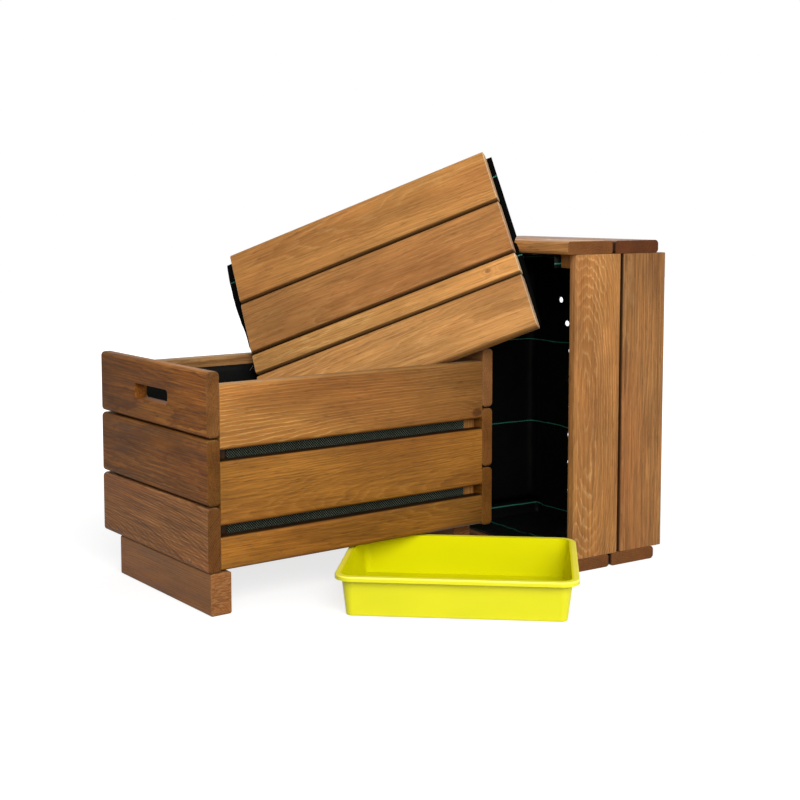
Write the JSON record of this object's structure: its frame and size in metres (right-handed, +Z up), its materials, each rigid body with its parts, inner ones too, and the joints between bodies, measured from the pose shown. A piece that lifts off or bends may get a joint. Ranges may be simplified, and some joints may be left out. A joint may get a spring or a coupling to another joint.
{
  "type": "wormery",
  "caption": "Slatted wooden wormery taken apart: cloth-lined base crate on skids, matching upper crate stood on end, slatted lid leaning on the base, and a yellow drip tray.",
  "frame": {"origin": "on the floor, under the centre of the whole set's bounding box", "axes": "+Z up, +X along the base crate's length from its left end to its right, +Y from the base crate's front to its back"},
  "size_m": [0.7942, 0.7654, 0.6748],
  "materials": {
    "stained_pine": "satin",
    "woven_cloth": "matte",
    "yellow_plastic": "gloss",
    "zinc_steel": "satin"
  },
  "bodies": {
    "base_crate": {"base_left_end_bottom_board": "stained_pine", "base_left_end_middle_board": "stained_pine", "base_left_end_top_board": "stained_pine", "base_right_end_bottom_board": "stained_pine", "base_right_end_middle_board": "stained_pine", "base_right_end_top_board": "stained_pine", "base_front_bottom_board": "stained_pine", "base_front_middle_board": "stained_pine", "base_front_top_board": "stained_pine", "base_back_bottom_board": "stained_pine", "base_back_middle_board": "stained_pine", "base_back_top_board": "stained_pine", "base_post_front_left": "stained_pine", "base_post_back_left": "stained_pine", "base_post_front_right": "stained_pine", "base_post_back_right": "stained_pine", "base_floor_slat_1": "stained_pine", "base_floor_slat_2": "stained_pine", "base_floor_slat_3": "stained_pine", "base_floor_slat_4": "stained_pine", "base_skid_left": "stained_pine", "base_skid_right": "stained_pine", "base_lining": "woven_cloth", "base_screws": "zinc_steel", "base_floor_nails": "zinc_steel", "base_lining_staples": "zinc_steel"},
    "upper_crate": {"upper_left_end_bottom_board": "stained_pine", "upper_left_end_top_board": "stained_pine", "upper_right_end_bottom_board": "stained_pine", "upper_right_end_top_board": "stained_pine", "upper_front_bottom_board": "stained_pine", "upper_front_top_board": "stained_pine", "upper_back_bottom_board": "stained_pine", "upper_back_top_board": "stained_pine", "upper_post_front_left": "stained_pine", "upper_post_back_left": "stained_pine", "upper_post_front_right": "stained_pine", "upper_post_back_right": "stained_pine", "upper_bearer_1": "stained_pine", "upper_bearer_2": "stained_pine", "upper_bearer_3": "stained_pine", "upper_lining": "woven_cloth", "upper_screws": "zinc_steel", "upper_lining_staples": "zinc_steel"},
    "lid": {"lid_front_board": "stained_pine", "lid_narrow_board": "stained_pine", "lid_middle_board": "stained_pine", "lid_back_board": "stained_pine", "lid_cleat_left": "stained_pine", "lid_cleat_right": "stained_pine", "lid_cloth": "woven_cloth", "lid_screws": "zinc_steel", "lid_cloth_staples": "zinc_steel"},
    "tray": {"drip_tray": "yellow_plastic"}
  },
  "joints": [
    {"name": "upper_crate_away", "type": "slide", "parent": "base_crate", "child": "upper_crate", "axis": [0.9984, -0.0574, 0], "range_m": [0, 0.3]},
    {"name": "lid_lift", "type": "slide", "parent": "base_crate", "child": "lid", "axis": [0, 0, 1], "range_m": [0, 0.3]},
    {"name": "tray_pull", "type": "slide", "parent": "base_crate", "child": "tray", "axis": [-0.6762, -0.7367, 0], "range_m": [0, 0.25]}
  ]
}
